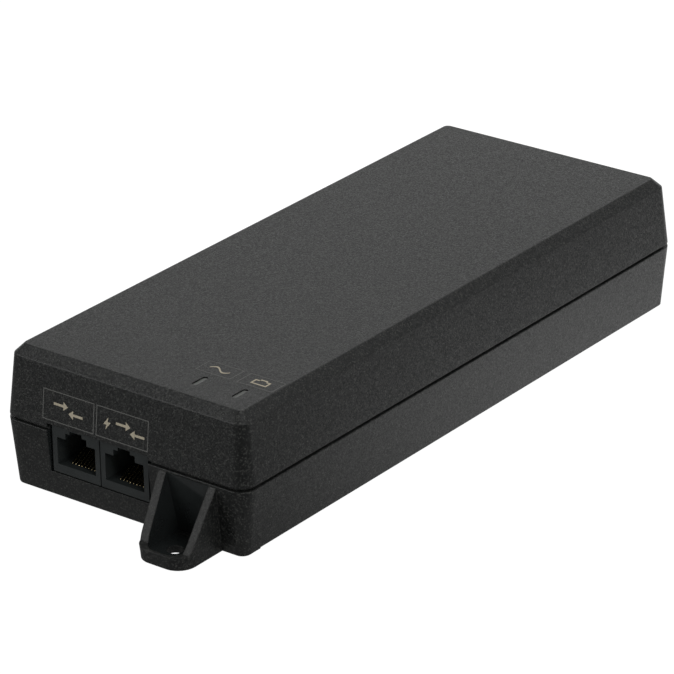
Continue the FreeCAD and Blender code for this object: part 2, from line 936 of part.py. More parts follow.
def transformer_parts():
    x, y = transformer_x, transformer_y
    level = board_top + part_lift + core_z / 2
    block = box(x - core_x / 2, x + core_x / 2, y - core_y / 2, y + core_y / 2,
                level - core_z / 2, level + core_z / 2)
    window_x = core_x / 2 - core_back
    for sign in (-1, 1):
        inner = level + sign * core_leg / 2
        outer = level + sign * (core_z / 2 - core_back)
        block = block.cut(box(x - window_x, x + window_x, y - core_y, y + core_y,
                              min(inner, outer), max(inner, outer)))
    seam = core_joint_gap / 2
    left = block.common(box(x - core_x, x - seam, y - core_y, y + core_y, 0, case_height))
    right = block.common(box(x + seam, x + core_x, y - core_y, y + core_y, 0, case_height))
    tube_y = core_y / 2 + bobbin_gap + bobbin_wall
    tube_z = core_leg / 2 + bobbin_gap + bobbin_wall
    reach = window_x - bobbin_window_gap
    flange_z = core_z / 2 - core_back - bobbin_window_gap
    flange_y = core_y / 2 + bobbin_flange_reach
    tube = box(x - reach, x + reach, y - tube_y, y + tube_y, level - tube_z, level + tube_z)
    flanges = []
    for sign in (-1, 1):
        inner = x + sign * (reach - bobbin_flange)
        outer = x + sign * reach
        flanges.append(box(min(inner, outer), max(inner, outer), y - flange_y, y + flange_y,
                           level - flange_z, level + flange_z))
        for side in (-1, 1):
            near = y + side * (core_y / 2 + bobbin_foot_gap)
            far = y + side * flange_y
            flanges.append(box(min(inner, outer), max(inner, outer), min(near, far), max(near, far),
                               board_top, level))
    bobbin = fused([tube] + flanges)
    bobbin = bobbin.cut(box(x - core_x, x + core_x, y - core_y / 2 - bobbin_gap, y + core_y / 2 + bobbin_gap,
                            level - core_leg / 2 - bobbin_gap, level + core_leg / 2 + bobbin_gap))
    pin_x = reach - bobbin_flange / 2
    pin_y = flange_y - bobbin_pin_margin
    pins = [(x + sx * pin_x, y + side * (pin_y - bobbin_pin_pitch * row))
            for sx in (-1, 1) for side in (-1, 1) for row in (0, 1)]
    bobbin = with_leads(bobbin, pins)
    coil_half_x = reach - bobbin_flange - coil_flange_gap
    coil_half_y = flange_y - coil_side_margin
    coil_half_z = flange_z - coil_top_margin
    coil = box(x - coil_half_x, x + coil_half_x, y - coil_half_y, y + coil_half_y,
               level - coil_half_z, level + coil_half_z)
    edges = [edge for edge in coil.Edges if edge.BoundBox.XLength > core_leg]
    coil = coil.makeFillet(coil_rounding, edges)
    tube_y = tube_y + coil_tube_gap
    tube_z = tube_z + coil_tube_gap
    coil = coil.cut(box(x - core_x, x + core_x, y - tube_y, y + tube_y, level - tube_z, level + tube_z))
    return [left, right], bobbin, coil


def heatsink(x, y, length, height, fin_side):
    """A folded plate on edge: an upright web with a short foot and a top return."""
    web = box(x - heatsink_thickness / 2, x + heatsink_thickness / 2, y - length / 2, y + length / 2,
              board_top, board_top + height)
    reach = x + fin_side * sink_return
    top = box(min(x, reach), max(x, reach), y - length / 2, y + length / 2,
              board_top + height - heatsink_thickness * sink_return_share, board_top + height)
    body = fused([web, top])
    pin_y = length / 2 - sink_pin_margin
    return with_leads(body, [(x, y - pin_y), (x, y + pin_y)])


def power_device(x, y, face_side):
    """An upright three-lead device, its metal tab flat on a heatsink web at x."""
    skin = x + face_side * heatsink_thickness / 2
    outer = skin + face_side * device_thickness
    half = device_width / 2
    lift = board_top + device_lift
    body = box(min(skin, outer), max(skin, outer), y - half, y + half, lift, lift + device_body_height)
    tab_outer = skin + face_side * device_tab_thickness
    tab = box(min(skin, tab_outer), max(skin, tab_outer), y - half, y + half,
              lift + device_body_height - device_tab_overlap, lift + device_tab_height)
    hole_z = lift + device_hole_rise
    hole = along_x(device_hole_radius, y, hole_z, min(skin, outer) - overcut, max(skin, outer) + overcut)
    device = fused([body, tab]).cut(hole)
    lead_x = (skin + outer) / 2
    places = [(lead_x, y + row * device_lead_pitch) for row in (-1, 0, 1)]
    for lead_y in [place[1] for place in places]:
        device = fused([device, upright(lead_radius, lead_x, lead_y, board_top, lift + lead_root)])
    device = with_leads(device, places)
    head_end = tab_outer + face_side * device_screw_head_height
    tip = skin - face_side * (heatsink_thickness + device_screw_tip_reach)
    shank = along_x(device_screw_radius, y, hole_z, min(tip, head_end), max(tip, head_end))
    head = along_x(device_screw_head_radius, y, hole_z, min(tab_outer, head_end), max(tab_outer, head_end))
    return device, fused([shank, head])


def drilled(sink, screw_radius, y, z):
    """A heatsink with the clearance hole of its device screw."""
    return sink.cut(along_x(screw_radius + thread_clearance, y, z, -half_width, half_width))


def drum_inductor(x, y, radius, height):
    """A dumb-bell core with its coil between the flanges."""
    top = board_top + height
    waist = radius * drum_core_share
    core = fused([
        upright(radius, x, y, board_top, board_top + drum_flange),
        upright(waist, x, y, board_top, top),
        upright(radius, x, y, top - drum_flange, top),
    ])
    lead_x = radius * drum_lead_share
    core = with_leads(core, [(x - lead_x, y), (x + lead_x, y)])
    coil_low = board_top + drum_flange + drum_coil_gap
    coil = upright(radius * drum_coil_share, x, y, coil_low, top - drum_flange - drum_coil_gap)
    return core, coil.cut(upright(waist + drum_coil_gap, x, y, board_top, top))


def flat_chip(x, y, length_x, length_y, height, lead_count):
    """A surface-mounted chip with a row of gull-wing leads along both sides."""
    body = box(x - length_x / 2, x + length_x / 2, y - length_y / 2, y + length_y / 2,
               board_top + chip_lift, board_top + height)
    pitch = length_y / lead_count
    half = pitch * chip_lead_share / 2
    feet = []
    for side in (-1, 1):
        for index in range(lead_count):
            place = y - length_y / 2 + (index + 0.5) * pitch
            near = x + side * (length_x / 2 - chip_lead_root)
            far = x + side * (length_x / 2 + chip_lead_reach)
            feet.append(box(min(near, far), max(near, far), place - half, place + half,
                            board_top, board_top + chip_lead_thickness))
    return fused([body] + feet)


# ---------------------------------------------------------------- build every node
def build_case():
    save("top_cover", top_cover())
    save("bottom_case", bottom_case())
    save("case_screws", *case_screws())
    half_plate = plate_width / 2
    rating_plate = box(-half_plate, half_plate, -plate_length / 2, plate_length / 2,
                       plate_recess - plate_thickness, plate_recess)
    save("blank_rating_plate", rating_plate)


def build_jack():
    save("jack_housing", jack_housing())
    for name, x in zip(("data", "power"), port_places()):
        save(name + "_contact_springs", *contact_springs(x))
        save(name + "_contact_tails", *contact_tails(x))
        save(name + "_contact_insert", contact_insert(x))


def build_lights():
    for name, x in zip(("mains", "port"), light_x):
        save(name + "_light_pipe", light_pipe(x))
        save(name + "_led", status_led(x))


def build_inlet():
    save("inlet_housing", inlet_housing())
    for name, (x, z) in zip(("line", "neutral", "earth"), blade_places()):
        save(name + "_blade", blade_block(x, z))


def build_mains_side():
    glass, caps = fuse_parts()
    save("fuse_glass", glass)
    save("fuse_caps", *caps)
    save("surge_varistor", disc_part(19.0, filter_y + 4, 6.0, 4.4, part_lift, 7.5))
    save("inrush_thermistor", disc_part(7.0, filter_y + 4, 5.0, 4.0, part_lift, 5.0))
    x_cap_places = [(-22.5, filter_y - 9), (-7.5, filter_y - 9)]
    save("line_filter_capacitor", boxed_part(-15.0, filter_y - 9, 18.0, 9.0, 15.0, x_cap_places))
    save("safety_capacitors",
         disc_part(-21.0, filter_y - 19, 4.0, 3.0, part_lift, 5.0),
         disc_part(-9.0, filter_y - 19, 4.0, 3.0, part_lift, 5.0))
    base, core, windings = choke_parts()
    save("choke_base", base)
    save("choke_core", core)
    save("choke_windings", *windings)
    bridge_y = filter_y - 27
    bridge_places = [(-21.0 + 4 * index, bridge_y) for index in range(4)]
    save("bridge_rectifier", boxed_part(-15.0, bridge_y, 18.0, 4.5, 12.0, bridge_places))


def build_converter():
    save("bulk_capacitor", can_capacitor(board_half_width - 9.2, transformer_y + 8, 8.0, 25.0, 7.5))
    cores, bobbin, coil = transformer_parts()
    save("transformer_core", *cores)
    save("transformer_bobbin", bobbin)
    save("transformer_coil", coil)
    device_hole = board_top + device_lift + device_hole_rise
    sink_x = -(board_half_width - sink_side_margin)
    sink = heatsink(sink_x, transformer_y + 1, 26.0, sink_height, 1)
    switch, switch_screw = power_device(sink_x, transformer_y + 3, 1)
    save("primary_heatsink", drilled(sink, device_screw_radius, transformer_y + 3, device_hole))
    save("switching_transistor", switch)
    second_x = board_half_width - sink_side_margin
    second_y = transformer_y - 27
    sink = heatsink(second_x, second_y, 18.0, sink_height, -1)
    diode, diode_screw = power_device(second_x, second_y, -1)
    save("secondary_heatsink", drilled(sink, device_screw_radius, second_y, device_hole))
    save("output_rectifier", diode)
    save("device_screws", switch_screw, diode_screw)
    output_y = transformer_y - 26
    save("output_capacitors",
         *[can_capacitor(x, output_y, 5.0, 20.0, 5.0) for x in (-22.0, -10.5)])
    core, coil = drum_inductor(3.5, output_y, 6.5, 14.0)
    save("output_inductor_core", core)
    save("output_inductor_coil", coil)
    save("feedback_optocoupler", flat_chip(-20.0, transformer_y - 15.5, 6.4, 4.6, 3.6, 2))
    save("primary_control_chip", flat_chip(15.5, transformer_y - 13.0, 4.0, 5.0, 1.6, 4))


def build_network_side():
    chip_y = jack_back + 9.0
    for name, x in zip(("data", "power"), port_places()):
        save(name + "_isolation_transformer", flat_chip(x, chip_y, 9.5, 12.5, 5.6, 8))
    save("port_power_controller", flat_chip(14.0, chip_y, 7.5, 10.0, 2.4, 12))
    save("sense_resistor", boxed_part(22.0, chip_y, 3.2, 6.4, 1.2, [(22.0, chip_y)]))


build_case()
build_jack()
build_lights()
build_inlet()
build_mains_side()
build_converter()
build_network_side()
save("insulation_sheet", insulation_sheet())
save("circuit_board", circuit_board())
save("board_screws", *board_screws())
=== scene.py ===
# %% [markdown]
# # A PoE injector, finished in Blender
# The construction comes in as a fixed frame: every moulding, screw and soldered part
# is already at its place. This notebook gives each surface its finish, lays the
# printed marks on the case, bends the spring contacts and lights the whole thing.

# %% Load the frame
import json
import math

import bmesh
import bpy
from mathutils import Matrix, Vector
from mathutils.bvhtree import BVHTree


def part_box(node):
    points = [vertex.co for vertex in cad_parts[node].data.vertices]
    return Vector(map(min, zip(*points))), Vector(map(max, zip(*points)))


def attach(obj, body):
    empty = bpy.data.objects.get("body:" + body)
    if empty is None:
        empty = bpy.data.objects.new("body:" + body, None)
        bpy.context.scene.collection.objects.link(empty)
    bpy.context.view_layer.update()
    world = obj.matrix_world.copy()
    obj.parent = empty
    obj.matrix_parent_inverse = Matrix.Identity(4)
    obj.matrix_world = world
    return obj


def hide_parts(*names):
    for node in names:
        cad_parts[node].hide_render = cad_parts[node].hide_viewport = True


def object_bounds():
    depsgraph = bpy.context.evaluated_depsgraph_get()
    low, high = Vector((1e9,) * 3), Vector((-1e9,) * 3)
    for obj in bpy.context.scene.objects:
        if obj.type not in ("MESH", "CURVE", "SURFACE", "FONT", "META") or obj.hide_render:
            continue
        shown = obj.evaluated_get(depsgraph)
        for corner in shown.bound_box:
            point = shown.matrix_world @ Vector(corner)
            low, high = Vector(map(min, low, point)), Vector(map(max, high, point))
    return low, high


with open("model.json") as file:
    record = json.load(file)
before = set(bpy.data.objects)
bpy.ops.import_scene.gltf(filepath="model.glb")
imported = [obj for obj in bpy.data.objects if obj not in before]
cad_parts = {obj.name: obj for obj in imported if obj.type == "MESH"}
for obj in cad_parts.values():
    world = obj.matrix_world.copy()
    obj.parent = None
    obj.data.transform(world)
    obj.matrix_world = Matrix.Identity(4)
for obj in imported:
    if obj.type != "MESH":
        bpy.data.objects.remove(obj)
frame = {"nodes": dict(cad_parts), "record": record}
nodes = frame["nodes"]
cad_low, cad_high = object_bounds()
MM = 0.001

# %% [markdown]
# ## Camera
# A long lens from about a metre away keeps the long edges of the case nearly
# parallel. The camera is described by how far round from the front it stands, how
# high, how far off, and a small roll.

# %% Set the camera
CAMERA_ROUND = math.radians(37.606)
CAMERA_HIGH = math.radians(24.372)
CAMERA_ROLL = math.radians(-1.025)
CAMERA_AWAY = 1.0248
CAMERA_AIM = Vector((-0.00654, 0.0018, 0.01196))
LENS_MM = 216.67
SENSOR_MM = 36.0

back = Vector((
    math.sin(CAMERA_ROUND) * math.cos(CAMERA_HIGH),
    -math.cos(CAMERA_ROUND) * math.cos(CAMERA_HIGH),
    math.sin(CAMERA_HIGH),
))
camera_data = bpy.data.cameras.new("camera")
camera_data.lens = LENS_MM
camera_data.sensor_width = SENSOR_MM
camera_data.clip_start = 0.05
camera_data.clip_end = 20.0
camera = bpy.data.objects.new("camera", camera_data)
bpy.context.scene.collection.objects.link(camera)
turn = back.to_track_quat("Z", "Y").to_matrix().to_4x4()
camera.matrix_world = (
    Matrix.Translation(CAMERA_AIM + back * CAMERA_AWAY) @ turn @ Matrix.Rotation(CAMERA_ROLL, 4, "Z")
)
bpy.context.scene.camera = camera
print("camera at", [round(v, 3) for v in camera.matrix_world.translation])

# %% [markdown]
# ## Small helpers
# One function turns the hex colour of a swatch into the linear numbers a shader
# works in. One adds a node with its settings and links. One starts a material, and
# one makes a mesh object.


# %% Helpers for colour, nodes and meshes
def linear(swatch):
    values = []
    for start in (0, 2, 4):
        part = int(swatch[start:start + 2], 16) / 255
        values.append(part / 12.92 if part <= 0.04045 else ((part + 0.055) / 1.055) ** 2.4)
    return (*values, 1.0)


def add(tree, kind, settings=None, **links):
    """Add a node; a link is an output socket or a plain value for that input."""
    node = tree.nodes.new(kind)
    for key, value in (settings or {}).items():
        setattr(node, key, value)
    for name, value in links.items():
        key = int(name[1:]) if name[1:].isdigit() else name.replace("_", " ")
        socket = node.inputs[key]
        if isinstance(value, bpy.types.NodeSocket):
            tree.links.new(value, socket)
        else:
            socket.default_value = value
    return node


def new_material(name):
    material = bpy.data.materials.new(name)
    material.use_nodes = True
    tree = material.node_tree
    tree.nodes.clear()
    output = tree.nodes.new("ShaderNodeOutputMaterial")
    shader = tree.nodes.new("ShaderNodeBsdfPrincipled")
    tree.links.new(shader.outputs[0], output.inputs[0])
    place = tree.nodes.new("ShaderNodeTexCoord").outputs["Object"]
    return material, tree, shader, place


def new_mesh_object(name, build):
    """Make an object from a function that fills a bmesh, faces turned outwards."""
    mesh = bpy.data.meshes.new(name)
    work = bmesh.new()
    build(work)
    bmesh.ops.remove_doubles(work, verts=work.verts, dist=1e-7)
    bmesh.ops.recalc_face_normals(work, faces=work.faces)
    work.to_mesh(mesh)
    work.free()
    piece = bpy.data.objects.new(name, mesh)
    bpy.context.scene.collection.objects.link(piece)
    return piece


# %% [markdown]
# ## Case plastic
# The two case halves are black ABS and polycarbonate, moulded against a steel tool
# that was spark-eroded. Spark erosion leaves overlapping craters about a tenth of a
# millimetre across, so the plastic is near black and glitters faintly, because each
# little facet mirrors another part of the room. They are drawn three times as coarse
# here, because finer ones would not show. A flat colour with plain roughness would
# look like rubber, and a smooth bump alone would only look soft. So each cell of a
# cell pattern tilts the surface its own way, the cells differ in tone at random and a
# few are painted paler as painted glints, and a finer noise breaks the cells up. Moulded
# edges are never sharp, so the tilt starts from a normal that is rounded over the last
# few tenths of a millimetre.


# %% Spark-textured plastic
FACET_MM = 0.3
GRAIN_MM = 0.14
EDGE_ROUND_MM = 0.3
PALE_CELL_POWER = 5.0
CLOUD_MM = 16.667
CLOUD_SHARE = 0.06
ROUGHNESS_SPREAD = 0.10


def faceted_normal(tree, place, facet_mm, tilt, edge_mm):
    """A normal rounded at the edges, then tilted at random from cell to cell."""
    cells = add(tree, "ShaderNodeTexVoronoi", Vector=place, Scale=1 / (facet_mm * MM))
    lean = add(tree, "ShaderNodeVectorMath", {"operation": "SUBTRACT"},
               _0=cells.outputs["Color"], _1=(0.5, 0.5, 0.5))
    rounded = add(tree, "ShaderNodeBevel", {"samples": 4}, Radius=edge_mm * MM)
    leaned = add(tree, "ShaderNodeVectorMath", {"operation": "MULTIPLY_ADD"},
                 _0=lean.outputs[0], _1=(tilt, tilt, tilt), _2=rounded.outputs[0])
    return cells, add(tree, "ShaderNodeVectorMath", {"operation": "NORMALIZE"}, _0=leaned.outputs[0])


def spark_textured_plastic(name, colour, lighter, roughness, tilt, edge_mm=EDGE_ROUND_MM):
    material, tree, shader, place = new_material(name)
    cells, normal = faceted_normal(tree, place, FACET_MM, tilt, edge_mm)
    grain = add(tree, "ShaderNodeTexNoise", Vector=place,
                Scale=1 / (GRAIN_MM * MM), Detail=2.0, Roughness=0.6)
    chance = add(tree, "ShaderNodeSeparateColor", Color=cells.outputs["Color"])
    # Few cells reach the lighter colour: painted glints standing in for facets that catch the light, over a
    # random tone from cell to cell.
    painted_glint_cells = add(tree, "ShaderNodeMath", {"operation": "POWER"}, _0=chance.outputs["Red"], _1=PALE_CELL_POWER)
    cloud = add(tree, "ShaderNodeTexNoise", Vector=place, Scale=1 / (CLOUD_MM * MM), Detail=3.0)
    tone = add(tree, "ShaderNodeMath", {"operation": "MULTIPLY_ADD"},
               _0=cloud.outputs["Fac"], _1=CLOUD_SHARE, _2=painted_glint_cells.outputs[0])
    colours = add(tree, "ShaderNodeMix", {"data_type": "RGBA"}, _0=tone.outputs[0],
                  _6=linear(colour), _7=linear(lighter))
    tree.links.new(colours.outputs[2], shader.inputs["Base Color"])
    rough = add(tree, "ShaderNodeMapRange", Value=grain.outputs["Fac"], From_Min=0.3, From_Max=0.7,
                To_Min=roughness - ROUGHNESS_SPREAD, To_Max=roughness + ROUGHNESS_SPREAD)
    tree.links.new(rough.outputs["Result"], shader.inputs["Roughness"])
    bump = add(tree, "ShaderNodeBump", Height=grain.outputs["Fac"], Strength=0.5,
               Distance=0.04 * MM, Normal=normal.outputs[0])
    tree.links.new(bump.outputs["Normal"], shader.inputs["Normal"])
    shader.inputs["IOR"].default_value = 1.5
    return material


case_plastic = spark_textured_plastic("black_abs_spark_textured", "131515", "444542", 0.42, 0.22)
print("case plastic: facets", FACET_MM, "mm, grain", GRAIN_MM, "mm")

# %% [markdown]
# ## Smooth plastics
# The jack and the mains inlet are smooth mouldings from polished tools: the same
# black, but with soft reflections and only a trace of flow marks. One function
# serves them, the inserts, the bobbins and the small parts, with different swatches
# and polish. The ground faces of the case come from the function for sparked plastic:
# a little paler and rougher, and rounder at the edges.


# %% Smooth moulded plastics
def smooth_plastic(name, colour, roughness, flow_mm=4.0, coat=0.0):
    material, tree, shader, place = new_material(name)
    flow = add(tree, "ShaderNodeTexNoise", Vector=place, Scale=1 / (flow_mm * MM),
               Detail=4.0, Distortion=0.6)
    fine = add(tree, "ShaderNodeTexNoise", Vector=place, Scale=1 / (0.25 * MM), Detail=1.0)
    base = linear(colour)
    paler = tuple(min(1.0, channel * 1.35 + 0.002) for channel in base[:3]) + (1.0,)
    colours = add(tree, "ShaderNodeMix", {"data_type": "RGBA"}, _0=flow.outputs["Fac"],
                  _6=base, _7=paler)
    tree.links.new(colours.outputs[2], shader.inputs["Base Color"])
    rough = add(tree, "ShaderNodeMapRange", Value=flow.outputs["Fac"],
                From_Min=0.25, From_Max=0.75, To_Min=roughness - 0.06, To_Max=roughness + 0.06)
    tree.links.new(rough.outputs["Result"], shader.inputs["Roughness"])
    bump = add(tree, "ShaderNodeBump", Height=fine.outputs["Fac"], Strength=0.12, Distance=0.02 * MM)
    tree.links.new(bump.outputs["Normal"], shader.inputs["Normal"])
    shader.inputs["IOR"].default_value = 1.5
    shader.inputs["Coat Weight"].default_value = coat
    return material


polished_case = smooth_plastic("black_abs_polished", "222525", 0.12)
fine_case = spark_textured_plastic("black_abs_fine_ground", "161716", "3c3d3a", 0.47, 0.2, edge_mm=0.5)
jack_plastic = smooth_plastic("black_pbt_polished", "292d2d", 0.4)
insert_plastic = smooth_plastic("black_pbt_insert", "121313", 0.45)
inlet_plastic = smooth_plastic("black_nylon_moulded", "151516", 0.42)
phenolic = smooth_plastic("black_phenolic_bobbin", "141312", 0.5)
epoxy_black = smooth_plastic("black_epoxy_moulded", "18181a", 0.55, flow_mm=1.5)
epoxy_blue = smooth_plastic("blue_epoxy_dipped", "1f4f9e", 0.25, coat=0.3)
epoxy_green = smooth_plastic("green_epoxy_dipped", "1d5c3a", 0.3, coat=0.3)
film_box_yellow = smooth_plastic("yellow_film_capacitor_box", "d8a21f", 0.35)
sleeve = smooth_plastic("blue_black_pvc_sleeve", "1a1f2e", 0.3, coat=0.2)
winding_tape = smooth_plastic("yellow_polyester_tape", "d9bf45", 0.4, flow_mm=1.0)
insulation_paper = smooth_plastic("cream_fish_paper", "d6cfb8", 0.7)
led_white = smooth_plastic("white_led_package", "e4e2d6", 0.45)
print("last of the smooth plastics:", led_white.name)

# %% [markdown]
# ## Metals
# Gold-plated contact wire, nickel-plated blades, zinc-plated screws, folded
# aluminium and copper wire. A metal is its colour plus how it was worked: drawn
# wire and rolled sheet carry fine lines along the part, plating has a soft mottle.


# %% Worked metals
def worked_metal(name, colour, roughness, stretch=(1.0, 1.0, 1.0), line_mm=0.15):
    material, tree, shader, place = new_material(name)
    aligned = add(tree, "ShaderNodeMapping", Vector=place, Scale=stretch)
    lines = add(tree, "ShaderNodeTexNoise", Vector=aligned.outputs[0],
                Scale=1 / (line_mm * MM), Detail=2.0)
    base = linear(colour)
    darker = tuple(channel * 0.8 for channel in base[:3]) + (1.0,)
    colours = add(tree, "ShaderNodeMix", {"data_type": "RGBA"}, _0=lines.outputs["Fac"],
                  _6=darker, _7=base)
    tree.links.new(colours.outputs[2], shader.inputs["Base Color"])
    rough = add(tree, "ShaderNodeMapRange", Value=lines.outputs["Fac"],
                From_Min=0.3, From_Max=0.7, To_Min=roughness - 0.07, To_Max=roughness + 0.07)
    tree.links.new(rough.outputs["Result"], shader.inputs["Roughness"])
    bump = add(tree, "ShaderNodeBump", Height=lines.outputs["Fac"], Strength=0.15, Distance=0.01 * MM)
    tree.links.new(bump.outputs["Normal"], shader.inputs["Normal"])
    shader.inputs["Metallic"].default_value = 1.0
    return material


contact_gold = worked_metal("gold_plated_bronze_wire", "d2bf95", 0.2, (1.0, 0.1, 1.0))
blade_nickel = worked_metal("nickel_plated_brass", "c9c4ba", 0.28, (1.0, 0.15, 1.0))
screw_zinc = worked_metal("zinc_plated_steel", "b9bcc0", 0.33)
sheet_aluminium = worked_metal("rolled_aluminium", "c8cacc", 0.38, (1.0, 0.08, 1.0))
copper_enamel = worked_metal("enamelled_copper", "b5652f", 0.25)
print("last of the metals:", copper_enamel.name)

# %% [markdown]
# ## The rest of the bench
# Sintered ferrite is a matt grey-black ceramic with a coarse grain. The board is
# glass epoxy under a green mask, with a faint weave. The fuse is clear glass. The
# light pipes are clear polycarbonate with a frosted top, so they look pale grey
# with nothing lit behind them. The rating film is a satin polyester sheet.


# %% Ceramic, laminate, glass and film
def sintered_ferrite():
    material, tree, shader, place = new_material("sintered_ferrite")
    grain = add(tree, "ShaderNodeTexNoise", Vector=place, Scale=1 / (0.3 * MM), Detail=4.0)
    colours = add(tree, "ShaderNodeMix", {"data_type": "RGBA"}, _0=grain.outputs["Fac"],
                  _6=linear("232324"), _7=linear("47474a"))
    tree.links.new(colours.outputs[2], shader.inputs["Base Color"])
    bump = add(tree, "ShaderNodeBump", Height=grain.outputs["Fac"], Strength=0.3, Distance=0.03 * MM)
    tree.links.new(bump.outputs["Normal"], shader.inputs["Normal"])
    shader.inputs["Roughness"].default_value = 0.6
    return material


def board_laminate():
    material, tree, shader, place = new_material("green_masked_glass_epoxy")
    weave = add(tree, "ShaderNodeTexWave", {"bands_direction": "X"}, Vector=place,
                Scale=1 / (2.2 * MM), Distortion=0.4)
    cross = add(tree, "ShaderNodeTexWave", {"bands_direction": "Y"}, Vector=place,
                Scale=1 / (2.2 * MM), Distortion=0.4)
    both = add(tree, "ShaderNodeMath", {"operation": "MULTIPLY"},
               _0=weave.outputs["Fac"], _1=cross.outputs["Fac"])
    colours = add(tree, "ShaderNodeMix", {"data_type": "RGBA"}, _0=both.outputs[0],
                  _6=linear("14502f"), _7=linear("1d6a3f"))
    tree.links.new(colours.outputs[2], shader.inputs["Base Color"])
    shader.inputs["Roughness"].default_value = 0.3
    shader.inputs["Coat Weight"].default_value = 0.3
    return material


def frosted_pipe():
    material, tree, shader, place = new_material("frosted_polycarbonate")
    haze = add(tree, "ShaderNodeTexNoise", Vector=place, Scale=1 / (0.2 * MM), Detail=2.0)
    colours = add(tree, "ShaderNodeMix", {"data_type": "RGBA"}, _0=haze.outputs["Fac"],
                  _6=linear("6e716e"), _7=linear("989a96"))
    tree.links.new(colours.outputs[2], shader.inputs["Base Color"])
    rough = add(tree, "ShaderNodeMapRange", Value=haze.outputs["Fac"], To_Min=0.25, To_Max=0.5)
    tree.links.new(rough.outputs["Result"], shader.inputs["Roughness"])
    shader.inputs["Transmission Weight"].default_value = 0.35
    shader.inputs["IOR"].default_value = 1.58
    return material


def fuse_glass():
    material, tree, shader, place = new_material("clear_glass_tube")
    smear = add(tree, "ShaderNodeTexNoise", Vector=place, Scale=1 / (2.0 * MM), Detail=2.0)
    rough = add(tree, "ShaderNodeMapRange", Value=smear.outputs["Fac"], To_Min=0.02, To_Max=0.1)
    tree.links.new(rough.outputs["Result"], shader.inputs["Roughness"])
    shader.inputs["Transmission Weight"].default_value = 1.0
    shader.inputs["IOR"].default_value = 1.5
    return material


def rating_film():
    material, tree, shader, place = new_material("satin_polyester_film")
    haze = add(tree, "ShaderNodeTexNoise", Vector=place, Scale=1 / (0.5 * MM), Detail=3.0)
    colours = add(tree, "ShaderNodeMix", {"data_type": "RGBA"}, _0=haze.outputs["Fac"],
                  _6=linear("3a3b3d"), _7=linear("46474a"))
    tree.links.new(colours.outputs[2], shader.inputs["Base Color"])
    shader.inputs["Roughness"].default_value = 0.35
    return material


finishes = {
    "textured_case": case_plastic,
    "zinc_screw": screw_zinc,
    "rating_film": rating_film(),
    "jack_plastic": jack_plastic,
    "jack_insert": insert_plastic,
    "gold_contact": contact_gold,
    "clear_pipe": frosted_pipe(),
    "led_body": led_white,
    "inlet_plastic": inlet_plastic,
    "nickel_blade": blade_nickel,
    "fuse_glass": fuse_glass(),
    "blue_epoxy": epoxy_blue,
    "green_epoxy": epoxy_green,
    "yellow_film_box": film_box_yellow,
    "bobbin_plastic": phenolic,
    "ferrite": sintered_ferrite(),
    "copper_wire": copper_enamel,
    "black_epoxy": epoxy_black,
    "capacitor_sleeve": sleeve,
    "yellow_tape": winding_tape,
    "heatsink_aluminium": sheet_aluminium,
    "insulation_film": insulation_paper,
    "board_laminate": board_laminate(),
}
print("finish slots:", len(finishes))

# %% [markdown]
# ## Give every moulded and made part its finish
# The record says which finish slot each node belongs to, so one loop dresses them.

# %% Assign the finishes
for entry in frame["record"]["subparts"]:
    node = nodes[entry["node"]]
    node.data.materials.clear()
    node.data.materials.append(finishes[entry["material_slot"]])

# %% [markdown]
# The pocket inside each screw ear comes from a polished insert in the tool, so it is
# darker and glossy and mirrors its own ribs. The sloping tops of the ribs and the rim
# are ground, which leaves them finer than the sparked walls. The cut sides of the jack's
# window take the polished finish as well, as painted shade for the gap beside the jack.
# Only the material of those faces changes. They are found by where they lie and which
# way they look. The rear ear is the front one turned half round, so its faces are
# turned back before they are measured.

# %% Polished pockets and ground ribs of the screw ears
SPARKED, POLISHED, GROUND = 0, 1, 2
EAR_FLOOR_MM = 1.9
FLOOR_SLACK_MM = 0.1
FLOOR_FILLET_MM = 0.3
RIB_TOP_MM = 16.9
EAR_WALL_MM = 90.2
PARTING_MM = 17.8
END_AT_PARTING_MM = 90.5
END_SLOPE = math.tan(math.radians(4.6))
POCKET_WALL_DEPTH_MM = (0.05, 0.3)
RIM_INSIDE_MM = 102.75
EAR_SPAN_MM = (10.0, 28.5)
LEFT_RIB_MM = 14.0
POCKET_SPAN_MM = (13.0, 26.35)
WINDOW_DEPTH_MM = (88.0, 90.0)
WINDOW_SPAN_MM = (-24.0, 9.0)

# Parts of a face's normal past which it counts as rising, flat, turned or sideways.
RISING = 0.4
FLAT = 0.9
TURNED = 0.1
SIDEWAYS = 0.7


def ear_finish(polygon):
    """Which finish a face at a screw ear has."""
    turn = -1 if polygon.center.y > 0 else 1
    across = polygon.center.x * turn / MM
    along = -polygon.center.y * turn / MM
    up = polygon.center.z / MM
    facing = Vector((polygon.normal.x * turn, -polygon.normal.y * turn, polygon.normal.z))
    depth = END_AT_PARTING_MM - (PARTING_MM - up) * END_SLOPE - along
    in_span = POCKET_SPAN_MM[0] < across < POCKET_SPAN_MM[1]
    above_floor = up > EAR_FLOOR_MM - FLOOR_SLACK_MM
    on_back_wall = POCKET_WALL_DEPTH_MM[0] < depth < POCKET_WALL_DEPTH_MM[1]
    if on_back_wall and in_span and above_floor and up < RIB_TOP_MM:
        return POLISHED
    if along < EAR_WALL_MM or not EAR_SPAN_MM[0] < across < EAR_SPAN_MM[1] or up > RIB_TOP_MM:
        return SPARKED
    looks_up = facing.z > RISING
    if looks_up and up > EAR_FLOOR_MM + FLOOR_FILLET_MM:
        return GROUND
    inside = in_span and along < RIM_INSIDE_MM
    looks_in = facing.z > FLAT or abs(facing.x) > TURNED or facing.y < -TURNED or across > LEFT_RIB_MM
    return POLISHED if inside and looks_in and above_floor else SPARKED


